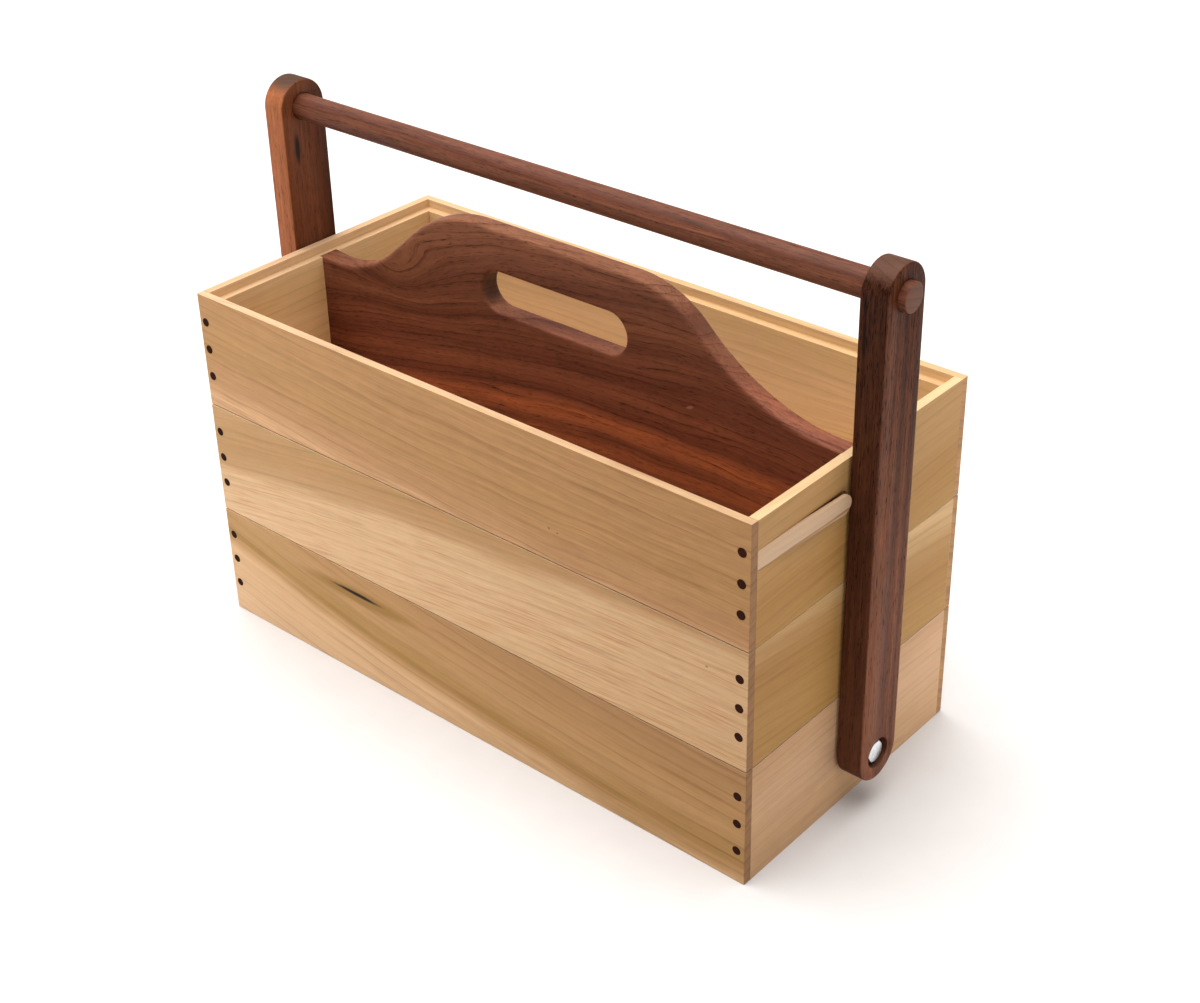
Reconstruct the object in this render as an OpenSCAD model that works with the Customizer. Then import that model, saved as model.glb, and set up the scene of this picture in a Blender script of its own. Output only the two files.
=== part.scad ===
// Stacking carpenter's toolbox: three nesting wooden trays, a walnut divider with a hand hole
// in the top tray, and a walnut bail handle that swings on two bolts in the bottom tray.
// Millimetres. +X right along the length, +Y back, +Z up, origin under the middle of the base.

/* [Trays] */
// Outside length of every tray
box_l = 488; // [380:1:560]
// Outside depth of every tray, front to back
box_d = 230; // [180:1:260]
// Height of each tray, from rim to rim
tray_h = 88.9; // [88:0.1:110]
// Thickness of the front, back and end boards
board_t = 12.7; // [12:0.1:15]
// Thickness of each bottom panel
panel_t = 6; // [4:0.1:6]

/* [Rim and corner joints] */
// Thickness of the lip left standing outside the rim rabbet
lip_t = 6.35; // [5:0.05:7]
// Depth of the rim rabbet that the next tray's bottom nests in
rim_depth = 6.35; // [6.3:0.05:8]
// Gap on each side between a nested bottom panel and the lip around it
nest_gap = 0.5; // [0.3:0.1:1]
// Diameter of the walnut pins in the corners
pin_d = 6.35; // [5:0.05:7]
// Length of each pin
pin_l = 25.4; // [15:0.1:32]
// Height of the lowest pin above the bottom of its tray
pin_low = 25; // [16:0.5:26]
// Distance between neighbouring pins
pin_pitch = 21.5; // [12:0.5:22]

/* [Divider] */
// Thickness of the divider
divider_t = 16; // [12:0.5:19]
// Full height of the divider at its hand hold
divider_h = 152.4; // [140:0.1:158]
// Depth of the groove in each end board that holds the divider
dado_depth = 3; // [2:0.5:4]
// Distance from the middle to where the left shoulder starts to fall
left_shoulder = 69; // [55:1:72]
// Distance from the middle to where the right shoulder starts to fall
right_shoulder = 64; // [55:1:66]
// Length of the hand hole
hole_l = 128; // [90:1:130]
// Height of the hand hole
hole_h = 30; // [22:1:32]
// Height of the middle of the hand hole above the tray's bottom panel
hole_z = 106; // [100:1:110]

/* [Handle] */
// Thickness of each arm
arm_t = 19.05; // [16:0.05:22]
// Width of each arm and diameter of its round ends
arm_w = 40; // [34:1:44]
// Gap between a tray end and the arm beside it
arm_gap = 2; // [1.6:0.1:3]
// Distance from the pivot to the middle of the handle bar
arm_reach = 327.5; // [326:0.5:350]
// Diameter of the handle bar
bar_d = 19.05; // [16:0.05:22]
// How far the bar stands out of each arm's outer face
bar_proud = 5; // [2:0.5:8]

/* [Pivot hardware] */
// Diameter of the pivot bolts
bolt_d = 9.5; // [8:0.1:10]
// Diameter of the counterbore that hides each bolt head
counterbore_d = 21.5; // [20:0.5:24]
// Depth of the counterbore
counterbore_depth = 8; // [7:0.5:10]
// Size of the bolt heads and nuts across the flats
hex_af = 14.3; // [13:0.1:15]
// Outer diameter of the washers
washer_d = 22; // [19:0.5:25]

/* [Spring catches] */
// Width of each catch strip, top to bottom
catch_w = 13.5; // [11:0.5:15]
// Thickness of each catch strip
catch_t = 2.6; // [2:0.1:2.8]
// How far the tip springs out of the tray end
catch_proud = 4.6; // [4:0.1:5]
// Height of the middle of the strip above the bottom of its tray
catch_z = 61.5; // [58:0.5:66]

/* [Hidden] */
$fn = 64;

// Tray levels
bottom = 0;
middle = 1;
top = 2;

// Walls
half_l = box_l / 2;
half_d = box_d / 2;
wall_x = half_l - board_t;
lap_t = lip_t;
end_half = half_d - lap_t;
cut = 1;
pin_r = pin_d / 2;
pin_inset = board_t / 2;
tray_pin_heights = [for (k = [0 : 2]) pin_low + k * pin_pitch];

// Divider outline
divider_top = divider_h;
divider_end = tray_h - rim_depth;
divider_drop = divider_top - divider_end;
divider_half = wall_x + dado_depth;
left_slope = 41.3;
left_shoulder_r = 96;
left_foot_r = 92;
right_slope = 44;
right_shoulder_r = 80;
right_foot_r = 160;
hole_shift = -2;
arc_steps = 10;

// Handle and pivot
pivot_z = tray_h / 2;
bar_z = pivot_z + arm_reach;
arm_in = half_l + arm_gap;
arm_out = arm_in + arm_t;
counterbore_floor = arm_out - counterbore_depth;
running_gap = 0.05;
head_h = 6;
head_gap = 0.3;
washer_t = 1.6;
washer_hole_d = bolt_d + 0.6;
nut_h = 8;
spacer_t = arm_gap - 0.3;
bolt_tail = 2;

// Catches
catch_root = -end_half + 0.4;
catch_tip = -arm_w / 2 - 0.6;
catch_l = catch_tip - catch_root;
catch_angle = asin(catch_proud / catch_l);
pocket_gap = 0.3;
pocket_depth = catch_t + pocket_gap;

poplar = "#d0ab74";
rim_poplar = "#d9b783";
walnut = "#5a3020";
plywood = "#cfae7c";
maple = "#dcc2a0";
zinc = "#c9ccd0";

// ---- Tray boards ----------------------------------------------------------------------------

function tray_z(level) = level * tray_h;

// Holes or pins of one tray, at all four corners, on their own centre lines
module at_pins(level)
    for (sx = [-1, 1], sy = [-1, 1], z = tray_pin_heights)
        translate([sx * (half_l - pin_inset), sy * half_d, tray_z(level) + z])
            rotate([sy * 90, 0, 0])
                children();

module pin_holes(level)
    at_pins(level)
        translate([0, 0, -cut])
            cylinder(d = pin_d + 0.04, h = pin_l + cut + 0.2);

module tray_pins(level)
    color(walnut)
        at_pins(level)
            cylinder(d = pin_d, h = pin_l);

// Room taken out of all four boards: the rim rabbet and, on the bottom tray, the panel's rabbet
module rabbets(level) {
    inner_l = box_l - 2 * lip_t;
    inner_d = box_d - 2 * lip_t;
    translate([-inner_l / 2, -inner_d / 2, tray_z(level) + tray_h - rim_depth])
        cube([inner_l, inner_d, rim_depth + cut]);
    if (level == bottom)
        translate([-inner_l / 2, -inner_d / 2, -cut])
            cube([inner_l, inner_d, panel_t + cut]);
}

// Front board: full length, lapped over the end boards at both corners
module front_board(level)
    color(poplar)
        difference() {
            translate([-half_l, -half_d, tray_z(level)])
                cube([box_l, board_t, tray_h]);
            for (side = [-1, 1])
                translate([side * (wall_x + board_t) - board_t, -end_half, tray_z(level) - cut])
                    cube([2 * board_t, board_t, tray_h + 2 * cut]);
            rabbets(level);
            pin_holes(level);
        }

module back_board(level)
    mirror([0, 1, 0])
        front_board(level);

// Right end board, between the front and back laps
module right_end_board(level)
    color(poplar)
        difference() {
            translate([wall_x, -end_half, tray_z(level)])
                cube([board_t, 2 * end_half, tray_h]);
            rabbets(level);
            pin_holes(level);
            if (level == bottom)
                translate([wall_x - cut, 0, pivot_z])
                    rotate([0, 90, 0])
                        cylinder(d = bolt_d + 2 * running_gap, h = board_t + 2 * cut);
            if (level == top) {
                catch_pocket();
                translate([wall_x - cut, -divider_t / 2, tray_z(top) - cut])
                    cube([dado_depth + cut, divider_t, tray_h + 2 * cut]);
            }
        }

module left_end_board(level)
    mirror([1, 0, 0])
        right_end_board(level);

// Bottom panel: flush in its rabbet on the bottom tray, nested in the tray below on the others
module panel(level) {
    inset = level == bottom ? lip_t : lip_t + nest_gap;
    low = level == bottom ? 0 : tray_z(level) - panel_t;
    color(plywood)
        translate([-half_l + inset, -half_d + inset, low])
            cube([box_l - 2 * inset, box_d - 2 * inset, panel_t]);
}

// ---- Divider --------------------------------------------------------------------------------

function straight(slope, r_top, r_foot) =
    (divider_drop - (r_top + r_foot) * (1 - cos(slope))) / sin(slope);

function foot_x(shoulder, slope, r_top, r_foot) =
    shoulder + (r_top + r_foot) * sin(slope) + straight(slope, r_top, r_foot) * cos(slope);

// One falling S-curve: a round shoulder, a straight stretch and a round foot
function s_curve(shoulder, slope, r_top, r_foot) = concat(
    [for (k = [0 : arc_steps])
        let (a = slope * k / arc_steps)
        [shoulder + r_top * sin(a), divider_top - r_top * (1 - cos(a))]],
    [for (k = [0 : arc_steps])
        let (a = slope * (1 - k / arc_steps))
        [foot_x(shoulder, slope, r_top, r_foot) - r_foot * sin(a),
         divider_end + r_foot * (1 - cos(a))]]
);

function mirrored(points) = [for (k = [len(points) - 1 : -1 : 0]) [-points[k][0], points[k][1]]];

divider_outline = concat(
    [[divider_half, 0], [-divider_half, 0], [-divider_half, divider_end]],
    mirrored(s_curve(left_shoulder, left_slope, left_shoulder_r, left_foot_r)),
    s_curve(right_shoulder, right_slope, right_shoulder_r, right_foot_r),
    [[divider_half, divider_end]]
);

module hand_hole() {
    straight_l = hole_l - hole_h;
    translate([hole_shift, hole_z]) {
        square([straight_l, hole_h], center = true);
        for (side = [-1, 1])
            translate([side * straight_l / 2, 0])
                circle(d = hole_h);
    }
}

module divider()
    color(walnut)
        translate([0, divider_t / 2, tray_z(top)])
            rotate([90, 0, 0])
                linear_extrude(divider_t)
                    difference() {
                        polygon(divider_outline);
                        hand_hole();
                    }

// ---- Spring catches -------------------------------------------------------------------------

// A strip with a round tip, lying along +Y from its root, its outer face at x = 0
module strip(length, width, thickness)
    rotate([0, -90, 0])
        linear_extrude(thickness)
            union() {
                translate([-width / 2, 0])
                    square([width, length - width / 2]);
                translate([0, length - width / 2])
                    circle(d = width);
            }

// Shallow pocket that the pressed catch lies in
module catch_pocket()
    translate([half_l + cut, -end_half - cut, tray_z(top) + catch_z])
        strip(catch_l + cut + 2, catch_w + 2 * pocket_gap, pocket_depth + cut);

module right_catch()
    color(maple)
        translate([half_l, catch_root, tray_z(top) + catch_z])
            rotate([0, 0, -catch_angle])
                strip(catch_l, catch_w, catch_t);

module left_catch()
    mirror([1, 0, 0])
        right_catch();

// ---- Handle ---------------------------------------------------------------------------------

// A cylinder along +X from x = 0
module rod(d, h)
    rotate([0, 90, 0])
        cylinder(d = d, h = h);

module right_arm()
    color(walnut)
        difference() {
            union() {
                translate([arm_in, -arm_w / 2, pivot_z])
                    cube([arm_t, arm_w, arm_reach]);
                for (z = [pivot_z, bar_z])
                    translate([arm_in, 0, z])
                        rod(arm_w, arm_t);
            }
            translate([arm_in - cut, 0, pivot_z])
                rod(bolt_d + 2 * running_gap, arm_t + 2 * cut);
            translate([counterbore_floor, 0, pivot_z])
                rod(counterbore_d, counterbore_depth + cut);
            translate([arm_in - cut, 0, bar_z])
                rod(bar_d, arm_t + 2 * cut);
        }

module left_arm()
    mirror([1, 0, 0])
        right_arm();

module handle_bar()
    color(walnut)
        translate([-arm_out - bar_proud, 0, bar_z])
            rod(bar_d, 2 * (arm_out + bar_proud));

// ---- Pivot hardware -------------------------------------------------------------------------

module hex_prism(across_flats, h)
    rotate([0, 90, 0])
        cylinder(d = across_flats / cos(30), h = h, $fn = 6);

module ring(outer_d, inner_d, h)
    difference() {
        rod(outer_d, h);
        translate([-cut, 0, 0])
            rod(inner_d, h + 2 * cut);
    }

// Bolt from its head in the arm's counterbore to its tail inside the tray
module right_pivot_bolt() {
    tail_x = wall_x - washer_t - nut_h - bolt_tail;
    head_x = counterbore_floor + head_gap;
    color(zinc)
        translate([0, 0, pivot_z]) {
            translate([tail_x, 0, 0])
                rod(bolt_d, head_x - tail_x + head_h / 2);
            translate([head_x, 0, 0])
                hex_prism(hex_af, head_h);
        }
}

module right_spacer_washer()
    color(zinc)
        translate([half_l, 0, pivot_z])
            ring(washer_d, washer_hole_d, spacer_t);

module right_nut_washer()
    color(zinc)
        translate([wall_x - washer_t, 0, pivot_z])
            ring(washer_d, washer_hole_d, washer_t);

module right_lock_nut()
    color(zinc)
        translate([wall_x - washer_t - nut_h, 0, pivot_z])
            difference() {
                hex_prism(hex_af, nut_h);
                translate([-cut, 0, 0])
                    rod(bolt_d + 2 * running_gap, nut_h + 2 * cut);
            }

module left_pivot_bolt()
    mirror([1, 0, 0])
        right_pivot_bolt();

module left_spacer_washer()
    mirror([1, 0, 0])
        right_spacer_washer();

module left_nut_washer()
    mirror([1, 0, 0])
        right_nut_washer();

module left_lock_nut()
    mirror([1, 0, 0])
        right_lock_nut();

// ---- Nodes ----------------------------------------------------------------------------------

front_board(bottom);  // bottom_tray_front
back_board(bottom);  // bottom_tray_back
left_end_board(bottom);  // bottom_tray_left_end
right_end_board(bottom);  // bottom_tray_right_end
panel(bottom);  // bottom_tray_panel
tray_pins(bottom);  // bottom_tray_pins
front_board(middle);  // middle_tray_front
back_board(middle);  // middle_tray_back
left_end_board(middle);  // middle_tray_left_end
right_end_board(middle);  // middle_tray_right_end
panel(middle);  // middle_tray_panel
tray_pins(middle);  // middle_tray_pins
front_board(top);  // top_tray_front
back_board(top);  // top_tray_back
left_end_board(top);  // top_tray_left_end
right_end_board(top);  // top_tray_right_end
panel(top);  // top_tray_panel
tray_pins(top);  // top_tray_pins
divider();
left_catch();
right_catch();
left_arm();
right_arm();
handle_bar();
left_pivot_bolt();
right_pivot_bolt();
left_spacer_washer();
right_spacer_washer();
left_nut_washer();
right_nut_washer();
left_lock_nut();
right_lock_nut();
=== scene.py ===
"""Looks of the stacking carpenter's toolbox: poplar trays, walnut divider and handle, maple catches.

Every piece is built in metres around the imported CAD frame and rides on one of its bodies.
"""

import math

import bmesh
import bpy
from mathutils import Matrix, Vector
from mathutils.geometry import tessellate_polygon


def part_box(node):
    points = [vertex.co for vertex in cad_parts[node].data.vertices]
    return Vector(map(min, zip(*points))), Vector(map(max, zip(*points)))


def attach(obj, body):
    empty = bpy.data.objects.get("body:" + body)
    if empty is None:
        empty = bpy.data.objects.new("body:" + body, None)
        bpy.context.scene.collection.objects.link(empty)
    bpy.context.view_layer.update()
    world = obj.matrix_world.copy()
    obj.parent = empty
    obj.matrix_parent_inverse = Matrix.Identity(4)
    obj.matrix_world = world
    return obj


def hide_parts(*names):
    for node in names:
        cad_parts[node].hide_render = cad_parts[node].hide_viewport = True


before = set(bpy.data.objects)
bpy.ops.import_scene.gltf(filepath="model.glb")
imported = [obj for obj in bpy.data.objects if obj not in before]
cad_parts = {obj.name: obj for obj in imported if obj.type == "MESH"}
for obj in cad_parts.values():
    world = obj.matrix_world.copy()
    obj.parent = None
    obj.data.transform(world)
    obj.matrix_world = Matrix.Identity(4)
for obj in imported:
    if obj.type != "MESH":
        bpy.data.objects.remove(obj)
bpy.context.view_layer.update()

MM = 0.001
SIDES = {"left": -1, "right": 1}

# Sizes that the boxes of the CAD nodes don't give, in millimetres
RIM_DEPTH = 6.35
PANEL = 6.0
PIN_RADIUS = 3.175
PIN_LOW = 25.0
PIN_PITCH = 21.5
PIN_LENGTH = 25.4
PINS_PER_CORNER = 3
PIN_FACE = 0.96  # share of its radius left at a pin's very face
PIN_EASE = 0.015  # depth over which it comes to its full radius
EASE = 0.7  # width of a board's eased edges
RIM_EASE = 0.45  # the share of that width along the rims
LAP_EASE = 0.3  # and along the laps and inside a tray
SEAM = 0.6  # gap left under the boards of the upper trays
SET_BACK = {"bottom": 0.02, "middle": 0.04, "top": 0.24}  # of the long boards' outer faces
ARM_ROUND = 1.5
COUNTERBORE_RADIUS = 10.75
COUNTERBORE_DEPTH = 8.0
BOLT_RADIUS = 4.75
BOLT_HEAD = 6.0
THREAD_LENGTH = 14.0
THREAD_PITCH = 1.5
THREAD_DEPTH = 0.75
BOLT_PLAY = 0.02  # how much smaller the shank's own radius is
BOLT_TIP = 0.8  # the chamfer at its threaded end
CATCH_PROUD = 4.6  # how far a catch's tip stands out
CATCH_THICKNESS = 2.6
CATCH_UP = 61.0  # from the divider's foot to the middle of a catch
POCKET_DEPTH = 2.9
POCKET_GAP = 0.3
DADO_GAP = 0.05
DADO_OPEN = 6.0  # how far the dado's cutter reaches into the tray
BAR_GAP = 0.25
PAST = 2.0  # how far a cutter reaches past what it cuts


# ---- Colours --------------------------------------------------------------------------------


def tone(code):
    """A colour written as #rrggbb, as linear RGBA."""
    parts = [int(code[i : i + 2], 16) / 255 for i in (1, 3, 5)]
    linear = [c / 12.92 if c <= 0.04045 else ((c + 0.055) / 1.055) ** 2.4 for c in parts]
    return (*linear, 1.0)


# ---- Shader graphs written as expressions ---------------------------------------------------


class Wire:
    """One output of a shader node, which can be added, multiplied and so on."""

    def __init__(self, graph, socket):
        self.graph = graph
        self.socket = socket

    def __add__(self, other):
        return self.graph.math("ADD", self, other)

    def __sub__(self, other):
        return self.graph.math("SUBTRACT", self, other)

    def __rsub__(self, other):
        return self.graph.math("SUBTRACT", other, self)

    def __mul__(self, other):
        return self.graph.math("MULTIPLY", self, other)

    def __truediv__(self, other):
        return self.graph.math("DIVIDE", self, other)

    def __rtruediv__(self, other):
        return self.graph.math("DIVIDE", other, self)

    __radd__ = __add__
    __rmul__ = __mul__


class Graph:
    """The node tree of a new material, with a Principled shader on its output."""

    def __init__(self, name):
        self.material = bpy.data.materials.new(name)
        self.material.use_nodes = True
        self.nodes = self.material.node_tree.nodes
        self.links = self.material.node_tree.links
        self.shader = self.nodes["Principled BSDF"]

    def node(self, kind, **settings):
        made = self.nodes.new(kind)
        for key, value in settings.items():
            setattr(made, key, value)
        return made

    def feed(self, socket, value):
        if isinstance(value, Wire):
            self.links.new(value.socket, socket)
        elif value is not None:
            socket.default_value = value

    def math(self, operation, *values):
        made = self.node("ShaderNodeMath", operation=operation)
        for socket, value in zip(made.inputs, values):
            self.feed(socket, value)
        return Wire(self, made.outputs[0])

    def vector(self, x, y, z):
        made = self.node("ShaderNodeCombineXYZ")
        for socket, value in zip(made.inputs, (x, y, z)):
            self.feed(socket, value)
        return Wire(self, made.outputs[0])

    def split(self, wire):
        made = self.node("ShaderNodeSeparateXYZ")
        self.feed(made.inputs[0], wire)
        return [Wire(self, output) for output in made.outputs]

    def coordinates(self, output):
        return Wire(self, self.node("ShaderNodeTexCoord").outputs[output])

    def noise(self, vector, detail=2.0, roughness=0.5):
        """Smooth noise about zero, roughly -0.5 to 0.5."""
        made = self.node("ShaderNodeTexNoise")
        self.feed(made.inputs["Vector"], vector)
        made.inputs["Scale"].default_value = 1.0
        made.inputs["Detail"].default_value = detail
        made.inputs["Roughness"].default_value = roughness
        return Wire(self, made.outputs["Fac"]) - 0.5

    def step(self, value, low, high):
        """0 below low and 1 above high, with a soft ramp between them."""
        made = self.node("ShaderNodeMapRange", interpolation_type="SMOOTHSTEP")
        self.feed(made.inputs["Value"], value)
        made.inputs["From Min"].default_value = low
        made.inputs["From Max"].default_value = high
        return Wire(self, made.outputs["Result"])

    def mix(self, factor, a, b, blend="MIX"):
        made = self.node("ShaderNodeMix", data_type="RGBA", blend_type=blend)
        made.clamp_factor = True
        self.feed(made.inputs["Factor"], factor)
        self.feed(made.inputs[6], a)
        self.feed(made.inputs[7], b)
        return Wire(self, made.outputs[2])

    def ramp(self, value, stops):
        """Colours at stops of value, blended between them."""
        low, high = stops[0][0], stops[-1][0]
        made = self.node("ShaderNodeValToRGB")
        made.color_ramp.interpolation = "EASE"
        elements = made.color_ramp.elements
        while len(elements) < len(stops):
            elements.new(0.5)
        for element, (place, colour) in zip(elements, stops):
            element.position = (place - low) / (high - low)
            element.color = tone(colour)
        self.feed(made.inputs[0], (value - low) / (high - low))
        return Wire(self, made.outputs[0])

    def bump(self, height, strength, distance):
        made = self.node("ShaderNodeBump")
        made.inputs["Strength"].default_value = strength
        made.inputs["Distance"].default_value = distance
        self.feed(made.inputs["Height"], height)
        return Wire(self, made.outputs[0])


# ---- Wood -----------------------------------------------------------------------------------


def wood(
    name,
    axes,
    stops,
    end_grain,
    base=0.0,
    face=None,
    line=(0.0, 0.0, 0.0),
    through=0.4,
    warp=10.0,
    ring=6.0,
    ring_strength=0.18,
    streak=0.18,
    fleck=None,
    pores=0.0,
    fade=0.0,
    roughness=0.5,
    gloss=0.12,
    marks=(),
    eye=None,
    tints=(),
    inside=None,
    seed=0.0,
):
    """Solid wood whose growth lines run along the first of axes, such as "xzy".

    The second axis is the width of the face that shows, and the third its thickness. Growth is counted in
    millimetres across the width from a gently curved line: (its height, slope and bend). stops are colours
    at distances from that line. fleck is the colour of short fine dashes. fade is painted shade: how much
    darker and warmer the far end is, for light that falls off along the piece. face is how far the face that
    shows lies from the middle of the box. marks are dark lenses: (along, across, half length, half height,
    tilt, colour). eye is where the growth lines swirl: (along, across, half length, half height, rise). tints
    are gains for the faces towards an axis, painted light where they lighten tops, and inside is a gain for
    a board's inner face, painted light inside a tray. The plain numbers below are the sizes of the grain in
    millimetres.
    """
    g = Graph(name)
    point = dict(zip("xyz", g.split(g.coordinates("Object"))))
    facing = dict(zip("xyz", g.split(g.coordinates("Normal"))))
    along, across, deep = (point[axis] * (1 / MM) for axis in axes)
    across = across - base
    if face:
        deep = g.math("ABSOLUTE", deep) - face

    # Growth lines: a slow drift, a finer ripple, and a swirl
    drift = g.noise(g.vector(along / 210 + seed, across / 70, deep / 70), 2.0) * warp
    ripple = g.noise(g.vector(along / 50, across / 16 + seed, deep / 16), 2.0) * (warp * 0.3)
    height, slope, bend = line
    growth = across - along * slope - along * along * bend - height + deep * through + drift + ripple

    if eye:
        eye_along, eye_across, half_length, half_height, rise = eye
        u = (along - eye_along) / half_length
        v = (across - eye_across) / half_height
        growth = growth + rise / (1.0 + u * u + v * v)

    # Colour across the growth lines, clouded
    colour = g.ramp(growth, stops)
    cloud = g.noise(g.vector(along / 130, growth / 16, seed + 4.0), 3.0)
    colour = g.mix(g.step(cloud, -0.04, 0.16) * 0.5, colour, g.ramp(growth + 14.0, stops))

    # Late wood: thin dark lines, here and there
    uneven = g.noise(g.vector(growth / 9, along / 260, seed + 9.0), 1.0) * 14.0
    turn = g.math("FRACT", (growth + uneven) / ring)
    late_wood = g.math("POWER", turn, 6.0) * g.step(turn, 1.0, 0.95)
    presence = g.step(g.noise(g.vector(along / 110, growth / 8, seed + 2.0), 2.0), -0.25, 0.1)
    rings = late_wood * presence * ring_strength

    # Fibres, and the fall of light along the piece
    fibre = g.noise(g.vector(along / 26, growth / 0.8, deep / 0.8 + seed), 3.0, 0.6)
    wide_fibre = g.noise(g.vector(along / 80, growth / 2.2, deep / 2.2 + seed), 3.0, 0.65)
    mottle = g.noise(g.vector(along / 12, across / 6, deep / 6 + seed), 3.0, 0.7)
    shade = 1.0 + fibre * streak + wide_fibre * (streak * 1.7) + mottle * (streak * 0.7) - rings
    fall = along * (fade / 488.0)
    shade = shade - fall

    # Pores and flecks
    pore = g.step(g.noise(g.vector(along / 7.0, growth / 0.7, deep / 0.7 + seed), 1.0), 0.08, 0.2)
    shade = shade - pore * pores
    if fleck:
        dash = g.noise(g.vector(along / 40, growth / 1.1, deep / 1.1 + seed), 2.0)
        where = g.step(g.noise(g.vector(along / 100, growth / 22, seed + 6.0), 1.0), -0.3, 0.1)
        colour = g.mix(g.step(dash, -0.05, 0.22) * where * 0.7, colour, tone(fleck))
    green = shade - rings * 0.25 - fall * 0.15
    blue = shade - rings * 0.45 - fall * 0.35
    colour = g.mix(1.0, colour, g.vector(shade, green, blue), "MULTIPLY")

    # Faces, marks and end grain
    # Gains by facing; on the tops of the boards and the divider they are painted light
    for axis, gain in tints:
        toward = g.math("ABSOLUTE", facing[axis])
        colour = g.mix(g.step(toward, 0.35, 0.95), colour, g.mix(1.0, colour, (*gain, 1.0), "MULTIPLY"))
    # Painted light: a board's upright inner faces, inside the tray, made lighter and paler
    if inside:
        upright = g.step(g.math("ABSOLUTE", facing["z"]), 0.9, 0.4)
        inner = g.step(deep, -3.0, -6.0) * upright
        colour = g.mix(inner, colour, g.mix(1.0, colour, (*inside, 1.0), "MULTIPLY"))
    for mark_along, mark_across, half_length, half_height, tilt, mark_colour in marks:
        u = (along - mark_along) / half_length
        v = (across - mark_across - (along - mark_along) * tilt + ripple * 0.4) / half_height
        distance = g.math("SQRT", u * u + v * v) + fibre * 0.5
        colour = g.mix(g.step(distance, 1.0, 0.4), colour, tone(mark_colour))

    end_face = g.step(g.math("ABSOLUTE", facing[axes[0]]), 0.45, 0.95)
    grit = g.noise(g.vector(across / 0.7, deep / 0.7, seed), 2.0)
    patch = g.noise(g.vector(across / 18, deep / 18, seed + 1.0), 1.0)
    end_rings = 1.0 - g.math("POWER", turn, 3.0) * 0.25 + grit * 0.3 + patch * 0.5
    end_colour = g.mix(1.0, tone(end_grain), g.vector(end_rings, end_rings, end_rings), "MULTIPLY")
    colour = g.mix(end_face, colour, end_colour)

    g.feed(g.shader.inputs["Base Color"], colour)
    g.feed(g.shader.inputs["Roughness"], roughness + fibre * 0.16 + pore * 0.1)
    relief = fibre * 0.5 - rings - pore * (0.4 + pores)
    g.feed(g.shader.inputs["Normal"], g.bump(relief, 0.25, 0.15 * MM))
    g.shader.inputs["Specular IOR Level"].default_value = gloss
    return g.material


# Painted light: gain for the boards' faces towards z, making the rims and tops paler and brighter
RIM_PAINTED_LIGHT = (1.2, 1.42, 1.98)
# Painted light: gain for the inner faces of the trays, as if lit inside
INSIDE_PAINTED_LIGHT = (1.75, 2.2, 3.0)
POPLAR_END = "#8f6846"
BACK_END = "#b3875c"
WALNUT_END = "#5a3a2c"

# Colours at distances in millimetres from a growth line
HONEY = [
    (-70, "#bd936c"), (-20, "#c0966e"), (-5, "#ab8159"), (20, "#a67e51"), (60, "#a87f54"), (110, "#a47c4f"),
]
PINK = [
    (-90, "#c5a279"), (-40, "#c8a57e"), (-4, "#c6a47c"), (5, "#ad8960"), (20, "#a68256"), (60, "#ae8b61"),
]
DIAGONAL = [
    (-60, "#cba680"), (-8, "#c59f76"), (0, "#b58d60"), (5, "#987340"), (12, "#a37d4c"), (26, "#ad8659"),
    (44, "#aa8255"), (70, "#a07950"), (100, "#a67f56"),
]
OLIVE = [(-60, "#aa8049"), (-15, "#ae844c"), (20, "#a87d46"), (45, "#b08754"), (90, "#b48c5a")]
OLIVE_BANDED = OLIVE[:3] + [(38, "#b08754"), (50, "#bb9564"), (62, "#c9a475")]
PALE = [(-60, "#cba27c"), (-10, "#c89f76"), (25, "#cfa782"), (60, "#c49b74"), (100, "#cba27a")]
AMBER = [(-60, "#b98d5e"), (-10, "#b08452"), (25, "#b68a5a"), (60, "#ab7f4d"), (100, "#b3875a")]


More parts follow.
